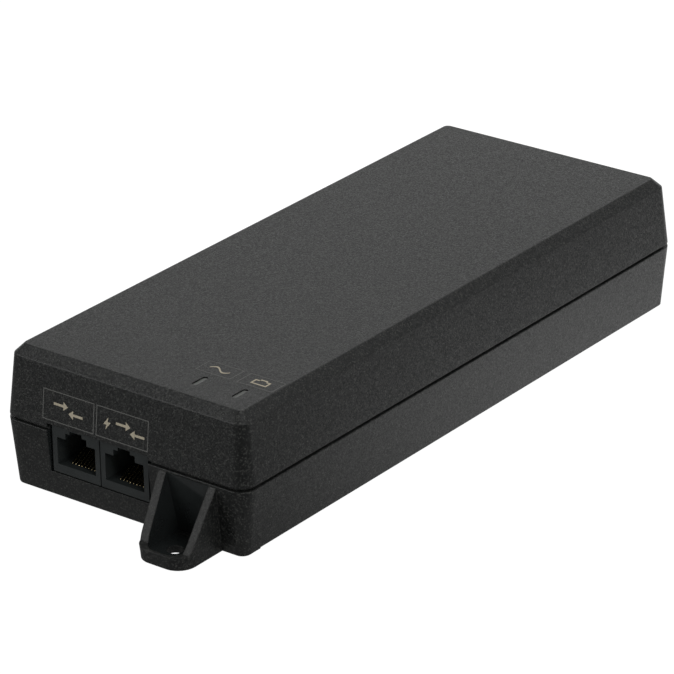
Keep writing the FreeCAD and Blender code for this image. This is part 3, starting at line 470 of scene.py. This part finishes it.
def window_shade_finish(polygon):
    """Which finish a face at the jack's window has: only its cut sides take the polished finish, as painted
    shade for the gap beside the jack.
    """
    in_span = WINDOW_SPAN_MM[0] < polygon.center.x / MM < WINDOW_SPAN_MM[1]
    in_depth = WINDOW_DEPTH_MM[0] < -polygon.center.y / MM < WINDOW_DEPTH_MM[1]
    sideways = abs(polygon.normal.x) > SIDEWAYS
    return POLISHED if sideways and in_span and in_depth else SPARKED


for node_name in ("bottom_case", "top_cover"):
    half = nodes[node_name].data
    half.materials.append(polished_case)
    half.materials.append(fine_case)
    counts = {SPARKED: 0, POLISHED: 0, GROUND: 0}
    for polygon in half.polygons:
        polygon.material_index = ear_finish(polygon) or window_shade_finish(polygon)
        counts[polygon.material_index] += 1
    print(node_name, "faces: sparked, polished, ground =", list(counts.values()))

# %% [markdown]
# ## Printed marks
# The case has thin printed frames with marks inside: over each network port, and
# beside each status light. On a bench these are pad printed, an ink film a few
# hundredths of a millimetre thick. The marks here are plain symbols: two arrows for
# data, a bolt for power, a wave for the mains and a small socket for the port. Each
# outline is drawn flat, dropped onto the case by a ray, and given the ink's own
# thickness, so it follows the slope of the case front.

# %% Ink colours
INK_MM = 0.03
INK_ROOT_MM = 0.015


def printed_ink(name, colour, paler):
    """Pad-printed ink: slightly uneven where the silicone pad lifted."""
    material, tree, shader, place = new_material(name)
    mottle = add(tree, "ShaderNodeTexNoise", Vector=place, Scale=1 / (0.3 * MM), Detail=3.0)
    colours = add(tree, "ShaderNodeMix", {"data_type": "RGBA"}, _0=mottle.outputs["Fac"],
                  _6=linear(colour), _7=linear(paler))
    tree.links.new(colours.outputs[2], shader.inputs["Base Color"])
    shader.inputs["Roughness"].default_value = 0.6
    return material


legend_ink = printed_ink("cream_pad_print_ink", "a89e88", "c9c0ab")
frame_ink = printed_ink("grey_pad_print_ink", "5a5a58", "6e6e6b")
print("ink film:", INK_MM, "mm above the plastic")


# %% Laying flat outlines on the case
def surface_finder(node_name):
    mesh = nodes[node_name].data
    points = [vertex.co for vertex in mesh.vertices]
    faces = [tuple(polygon.vertices) for polygon in mesh.polygons]
    return BVHTree.FromPolygons(points, faces)


cover_surface = surface_finder("top_cover")


def on_front(across, up):
    """The point of the case front straight behind (across, up), in metres."""
    start = Vector((across * MM, cad_low[1] - 0.02, up * MM))
    return cover_surface.ray_cast(start, Vector((0, 1, 0)))[:2]


def on_top(across, along):
    """The point of the case top straight under (across, along), in metres."""
    start = Vector((across * MM, along * MM, cad_high[2] + 0.02))
    return cover_surface.ray_cast(start, Vector((0, 0, -1)))[:2]


def print_mark(name, outlines, place, ink):
    """Make one printed mark from closed outlines in millimetres."""
    def build(work):
        for outline in outlines:
            upper = []
            lower = []
            for u, v in outline:
                point, normal = place(u, v)
                upper.append(work.verts.new(point + normal * INK_MM * MM))
                lower.append(work.verts.new(point - normal * INK_ROOT_MM * MM))
            work.faces.new(upper)
            work.faces.new(lower[::-1])
            count = len(outline)
            for index in range(count):
                following = (index + 1) % count
                work.faces.new((upper[index], lower[index], lower[following], upper[following]))
    mark = new_mesh_object(name, build)
    mark.data.materials.append(ink)
    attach(mark, "injector")
    return mark


def bar(u0, u1, v0, v1):
    return [(u0, v0), (u1, v0), (u1, v1), (u0, v1)]


def frame_outlines(u0, u1, v0, v1, line):
    """Four bars that meet end to side make a thin rectangular frame."""
    return [
        bar(u0, u1, v1 - line, v1),
        bar(u0, u1, v0, v0 + line),
        bar(u0, u0 + line, v0 + line, v1 - line),
        bar(u1 - line, u1, v0 + line, v1 - line),
    ]


def placed(outline, u, v, scale=1.0):
    """An outline moved to (u, v) and sized."""
    return [(u + x * scale, v + y * scale) for x, y in outline]


# %% [markdown]
# The symbols are drawn once, about one unit high, around their own middles.

# %% Symbols
ARROW_RIGHT = [
    (-1.0, 0.14), (-1.0, -0.14), (0.35, -0.14), (0.35, -0.5), (1.0, 0.0), (0.35, 0.5), (0.35, 0.14),
]
ARROW_LEFT = [(-x, y) for x, y in ARROW_RIGHT][::-1]
BOLT = [(0.12, 0.62), (-0.42, -0.12), (-0.06, -0.12), (-0.2, -0.62), (0.42, 0.16), (0.06, 0.16)]


def wave(width, height, line, steps=14):
    """One full wave as a ribbon of even thickness."""
    upper = []
    lower = []
    for index in range(steps + 1):
        share = index / steps
        u = (share - 0.5) * width
        v = math.sin(share * 2 * math.pi) * height / 2
        upper.append((u, v + line / 2))
        lower.append((u, v - line / 2))
    return [upper[i:i + 2] + lower[i:i + 2][::-1] for i in range(steps)]


def socket_symbol(width, height, line):
    """A small network socket: a frame with a notch on top."""
    half = width / 2
    notch = width * 0.22
    low = -height / 2
    high = height / 2
    step = height * 0.22
    return [
        bar(-half, half, low, low + line),
        bar(-half, -half + line, low + line, high - step),
        bar(half - line, half, low + line, high - step),
        bar(-half, -notch, high - step, high - step + line),
        bar(notch, half, high - step, high - step + line),
        bar(-notch, -notch + line, high - step + line, high),
        bar(notch - line, notch, high - step + line, high),
        bar(-notch, notch, high, high + line),
    ]


# %% Print the front marks
FRONT_FRAMES = ((-24.5, -8.65), (-7.95, 7.95))
FRONT_FRAME_LOW = 20.3
FRONT_FRAME_HIGH = 28.0
FRAME_LINE = 0.22
SYMBOL_LEVEL = 24.1
ARROW_OFFSET = 0.75
ARROW_SIZE = 2.2
BOLT_SIZE = 2.6

for name, (left, right) in zip(("data", "power"), FRONT_FRAMES):
    lines = frame_outlines(left, right, FRONT_FRAME_LOW, FRONT_FRAME_HIGH, FRAME_LINE)
    print_mark(name + "_port_frame", lines, on_front, frame_ink)
data_symbol = [
    placed(ARROW_RIGHT, -18.9, SYMBOL_LEVEL + ARROW_OFFSET, ARROW_SIZE),
    placed(ARROW_LEFT, -14.3, SYMBOL_LEVEL - ARROW_OFFSET, ARROW_SIZE),
]
print_mark("data_port_symbol", data_symbol, on_front, legend_ink)
power_symbol = [
    placed(BOLT, -4.6, SYMBOL_LEVEL, BOLT_SIZE),
    placed(ARROW_RIGHT, 0.3, SYMBOL_LEVEL + ARROW_OFFSET, ARROW_SIZE),
    placed(ARROW_LEFT, 4.6, SYMBOL_LEVEL - ARROW_OFFSET, ARROW_SIZE),
]
print_mark("power_port_symbol", power_symbol, on_front, legend_ink)

# %% Print the top marks
LIGHT_NAMES = ("mains", "port")
TOP_FRAME_LEFT = (9.9, 22.25)
TOP_FRAME_WIDTH = 10.4
TOP_FRAME_FRONT = -74.3
TOP_FRAME_BACK = -68.6

for name, left in zip(LIGHT_NAMES, TOP_FRAME_LEFT):
    lines = frame_outlines(left, left + TOP_FRAME_WIDTH, TOP_FRAME_FRONT, TOP_FRAME_BACK, FRAME_LINE)
    print_mark(name + "_light_frame", lines, on_top, frame_ink)
middle_along = (TOP_FRAME_FRONT + TOP_FRAME_BACK) / 2
middles = [left + TOP_FRAME_WIDTH / 2 for left in TOP_FRAME_LEFT]
mains_symbol = [placed(part, middles[0], middle_along) for part in wave(6.0, 1.9, 0.5)]
print_mark("mains_light_symbol", mains_symbol, on_top, legend_ink)
port_symbol = [placed(part, middles[1], middle_along - 0.2) for part in socket_symbol(4.6, 2.4, 0.45)]
print_mark("port_light_symbol", port_symbol, on_top, legend_ink)
print("printed marks over", len(FRONT_FRAMES), "ports and beside", len(LIGHT_NAMES), "lights")

# %% [markdown]
# ## Spring contacts
# Each port has eight springy wires a millimetre apart. A wire comes up out of the
# board behind the jack, turns forward along a trough, curls round under the port's
# sill and rises rearwards as a free leg that a plug presses down. The stamped CAD
# legs are straight bars, so these wires replace them. Sixteen wires that differ only
# in place are a job for Geometry Nodes: one path is bent, given a round section and
# copied along a row. The fixed part rides on the injector and the free legs on their
# own bodies, and both end on the hinge point, so no gap opens when the legs move.


# %% A row of bent wires
def wire_row_tree():
    tree = bpy.data.node_groups.new("bent_wire_row", "GeometryNodeTree")
    tree.interface.new_socket("Wires", in_out="OUTPUT", socket_type="NodeSocketGeometry")
    inputs = {
        "Wire Path": "NodeSocketObject",
        "First Wire": "NodeSocketVector",
        "Count": "NodeSocketInt",
        "Pitch": "NodeSocketFloat",
        "Wire Radius": "NodeSocketFloat",
        "Bend Radius": "NodeSocketFloat",
        "Finish": "NodeSocketMaterial",
    }
    for label, kind in inputs.items():
        tree.interface.new_socket(label, in_out="INPUT", socket_type=kind)
    sizes = tree.nodes.new("NodeGroupInput").outputs
    path = add(tree, "GeometryNodeObjectInfo", Object=sizes["Wire Path"])
    bent = add(tree, "GeometryNodeFilletCurve", {"mode": "POLY"}, Curve=path.outputs["Geometry"],
               Count=6, Radius=sizes["Bend Radius"], Limit_Radius=True)
    section = add(tree, "GeometryNodeCurvePrimitiveCircle", Resolution=12, Radius=sizes["Wire Radius"])
    wire = add(tree, "GeometryNodeCurveToMesh", Curve=bent.outputs[0],
               Profile_Curve=section.outputs[0], Fill_Caps=True)
    step = add(tree, "ShaderNodeCombineXYZ", X=sizes["Pitch"])
    row = add(tree, "GeometryNodeMeshLine", Count=sizes["Count"],
              Start_Location=sizes["First Wire"], Offset=step.outputs[0])
    copies = add(tree, "GeometryNodeInstanceOnPoints", Points=row.outputs[0], Instance=wire.outputs[0])
    real = add(tree, "GeometryNodeRealizeInstances", Geometry=copies.outputs[0])
    done = add(tree, "GeometryNodeSetMaterial", Geometry=real.outputs[0], Material=sizes["Finish"])
    output = tree.nodes.new("NodeGroupOutput")
    tree.links.new(done.outputs[0], output.inputs[0])
    return tree


def path_object(name, points):
    """A wire's middle line in the plane X = 0, from (along, up) points in metres."""
    curve = bpy.data.curves.new(name, "CURVE")
    curve.dimensions = "3D"
    spline = curve.splines.new("POLY")
    spline.points.add(len(points) - 1)
    for point, (along, up) in zip(spline.points, points):
        point.co = (0, along, up, 1)
    path = bpy.data.objects.new(name, curve)
    bpy.context.scene.collection.objects.link(path)
    return path


def grown_piece(name, tree, settings):
    """Run a tree once and keep its result as a plain mesh object."""
    maker = bpy.data.objects.new(name + "_maker", bpy.data.meshes.new(name + "_seed"))
    bpy.context.scene.collection.objects.link(maker)
    modifier = maker.modifiers.new("grow", "NODES")
    modifier.node_group = tree
    for item in tree.interface.items_tree:
        if item.in_out == "INPUT":
            modifier[item.identifier] = settings[item.name]
    grown = maker.evaluated_get(bpy.context.evaluated_depsgraph_get())
    mesh = bpy.data.meshes.new_from_object(grown)
    mesh.shade_smooth()
    piece = bpy.data.objects.new(name, mesh)
    bpy.context.scene.collection.objects.link(piece)
    bpy.data.objects.remove(maker)
    return piece


# %% Contact sizes, read from the frame
CONTACT_COUNT = 8
LEG_RISE = math.radians(28.0)
LEG_LENGTH_MM = 8.6
LEG_KNEE_SHARE = 0.86
LEG_TIP_DROP_MM = 0.35
CURL_REACH_MM = 0.42
WIRE_RADIUS_MM = 0.19
BEND_RADIUS_MM = 0.6
WIRE_INSET_MM = 0.01

wire_tree = wire_row_tree()
pivots = {joint["child"]: joint["pos_m"] for joint in frame["record"]["behaviour"]["joints"]}


def leg_path(pivot):
    """The free leg: from the hinge point up and back, with its tip turned down a little."""
    _, along, up = pivot
    reach = LEG_LENGTH_MM * MM
    knee_reach = reach * LEG_KNEE_SHARE
    knee = (along + knee_reach * math.cos(LEG_RISE), up + knee_reach * math.sin(LEG_RISE))
    tip = (along + reach * math.cos(LEG_RISE), knee[1] - LEG_TIP_DROP_MM * MM)
    return path_object("free_leg_path", [(along, up), knee, tip])


def fixed_path(pivot, low, high):
    """The fixed part: up out of the board, forward in the trough, and the front curl."""
    _, along, up = pivot
    half = (WIRE_RADIUS_MM - WIRE_INSET_MM) * MM
    back = high.y - half
    trough = high.z - half
    front = along - CURL_REACH_MM * MM
    points = [(back, low.z), (back, trough), (front, trough), (front, up), (along, up)]
    return path_object("fixed_wire_path", points)


# %% Make the contacts of both ports
for port in ("data", "power"):
    low, high = [Vector(corner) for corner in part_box(port + "_contact_tails")]
    pivot = pivots[port + "_contacts"]
    pitch = (high.x - low.x - 2 * WIRE_RADIUS_MM * MM) / (CONTACT_COUNT - 1)
    paths = {
        "free_legs": leg_path(pivot),
        "fixed_wires": fixed_path(pivot, low, high),
    }
    for part, path in paths.items():
        wires = grown_piece(port + "_contact_" + part, wire_tree, {
            "Wire Path": path,
            "First Wire": (low.x + WIRE_RADIUS_MM * MM, 0, 0),
            "Count": CONTACT_COUNT,
            "Pitch": pitch,
            "Wire Radius": WIRE_RADIUS_MM * MM,
            "Bend Radius": BEND_RADIUS_MM * MM,
            "Finish": contact_gold,
        })
        free = part == "free_legs"
        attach(wires, port + "_contacts" if free else "injector")
        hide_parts(port + ("_contact_springs" if free else "_contact_tails"))
        bpy.data.objects.remove(path)
    print(port, "port:", CONTACT_COUNT, "wires at", round(pitch / MM, 3), "mm")

# %% [markdown]
# ## Floor and light
# A white sweep, a lamp overhead, a low card behind, a large key far off in front on
# the left, and a narrow strip on the right. Black glossy plastic shows what stands
# round it rather than its own colour, so what the surfaces mirror matters most: the
# sweep is bright behind the case and fades in front of it and to the right, which
# leaves the front and the rounded corner dark. To the camera itself the floor and the
# sky stay white.

# %% Stage sizes
FLOOR_HALF = 6.0
FLOOR_DROP = 0.0002
POOL_FRONT = -0.135
POOL_BACK = 0.06
POOL_NEAR = 0.035
POOL_FAR = 0.12
POOL_LEVELS = (0.1, 0.9)
POOL_RIGHT_SHARE = 0.25
FLOOR_LEVEL_SEEN = 1.12
CAMERA_GLOW_SHARE = 0.9
SKY_LEVELS = (0.13, 0.32)
SKY_TURN = 0.8
SMOOTH = {"interpolation_type": "SMOOTHSTEP"}
print("floor pool fades over", round(POOL_BACK - POOL_FRONT, 3), "m")


# %% Floor
def stage_floor():
    """A sweep that shines for the camera and in mirrors, and is matt card for light."""
    def build(work):
        spots = [(x * FLOOR_HALF, y * FLOOR_HALF, 0) for x, y in ((-1, -1), (1, -1), (1, 1), (-1, 1))]
        work.faces.new([work.verts.new(spot) for spot in spots])
    floor = new_mesh_object("floor", build)
    floor.location.z = -FLOOR_DROP
    material = bpy.data.materials.new("white_sweep")
    material.use_nodes = True
    tree = material.node_tree
    tree.nodes.clear()
    output = tree.nodes.new("ShaderNodeOutputMaterial")
    place = tree.nodes.new("ShaderNodeTexCoord").outputs["Object"]
    axes = add(tree, "ShaderNodeSeparateXYZ", Vector=place)
    rear = add(tree, "ShaderNodeMapRange", SMOOTH, Value=axes.outputs["Y"], From_Min=POOL_FRONT,
               From_Max=POOL_BACK, To_Min=POOL_LEVELS[0], To_Max=POOL_LEVELS[1])
    left = add(tree, "ShaderNodeMapRange", SMOOTH, Value=axes.outputs["X"], From_Min=POOL_NEAR,
               From_Max=POOL_FAR, To_Min=1.0, To_Max=POOL_RIGHT_SHARE)
    pool = add(tree, "ShaderNodeMath", {"operation": "MULTIPLY"},
               _0=rear.outputs["Result"], _1=left.outputs["Result"])
    ray = add(tree, "ShaderNodeLightPath")
    level = add(tree, "ShaderNodeMix", {"data_type": "FLOAT"}, _0=ray.outputs["Is Camera Ray"],
                _2=pool.outputs[0], _3=FLOOR_LEVEL_SEEN)
    glow = add(tree, "ShaderNodeEmission", Color=(1, 1, 1, 1), Strength=level.outputs[0])
    matt = add(tree, "ShaderNodeBsdfDiffuse", Color=(0.8, 0.8, 0.8, 1.0))
    mirrored = add(tree, "ShaderNodeMath", {"operation": "MAXIMUM"},
                   _0=ray.outputs["Is Glossy Ray"], _1=ray.outputs["Is Transmission Ray"])
    seen = add(tree, "ShaderNodeMath", {"operation": "MULTIPLY_ADD"},
               _0=ray.outputs["Is Camera Ray"], _1=CAMERA_GLOW_SHARE, _2=mirrored.outputs[0])
    mixed = add(tree, "ShaderNodeMixShader", _0=seen.outputs[0], _1=matt.outputs[0], _2=glow.outputs[0])
    tree.links.new(mixed.outputs[0], output.inputs[0])
    floor.data.materials.append(material)
    return floor


stage_floor()


# %% Sky and lamps
def white_sky(front_level, back_level):
    """White to the camera; for light and reflections, brighter behind than in front."""
    world = bpy.data.worlds.new("white_room")
    world.use_nodes = True
    tree = world.node_tree
    tree.nodes.clear()
    output = tree.nodes.new("ShaderNodeOutputWorld")
    heading = tree.nodes.new("ShaderNodeTexCoord").outputs["Generated"]
    axes = add(tree, "ShaderNodeSeparateXYZ", Vector=heading)
    around = add(tree, "ShaderNodeMapRange", SMOOTH, Value=axes.outputs["Y"], From_Min=-SKY_TURN,
                 From_Max=SKY_TURN, To_Min=front_level, To_Max=back_level)
    ray = add(tree, "ShaderNodeLightPath")
    level = add(tree, "ShaderNodeMix", {"data_type": "FLOAT"}, _0=ray.outputs["Is Camera Ray"],
                _2=around.outputs["Result"], _3=1.0)
    light = add(tree, "ShaderNodeBackground", Color=(1, 1, 1, 1), Strength=level.outputs[0])
    tree.links.new(light.outputs[0], output.inputs[0])
    bpy.context.scene.world = world


def soft_lamp(name, place, aim, size, watts):
    data = bpy.data.lights.new(name, "AREA")
    data.shape = "RECTANGLE"
    data.size, data.size_y = size
    data.energy = watts
    lamp = bpy.data.objects.new(name, data)
    bpy.context.scene.collection.objects.link(lamp)
    toward = Vector(aim) - Vector(place)
    lamp.location = place
    lamp.rotation_euler = toward.to_track_quat("-Z", "Y").to_euler()
    return lamp


white_sky(*SKY_LEVELS)
soft_lamp("overhead", (-0.1, 0.3, 0.95), (0, 0.03, 0), (0.7, 0.6), 3.0)
soft_lamp("rear_card", (-0.3, 0.5, 0.11), (-0.05, 0, 0.03), (1.4, 0.2), 0.55)
soft_lamp("front_key", (-0.74, -0.95, 0.42), (0, -0.08, 0.02), (0.7, 0.8), 3.6)
soft_lamp("right_strip", (0.78, -0.36, 0.62), (0, -0.08, 0.02), (0.14, 0.6), 2.2)
bpy.context.scene.view_settings.view_transform = "Standard"
print("stage lit")

# %% [markdown]
# ## The end of the scene

print("scene finished")
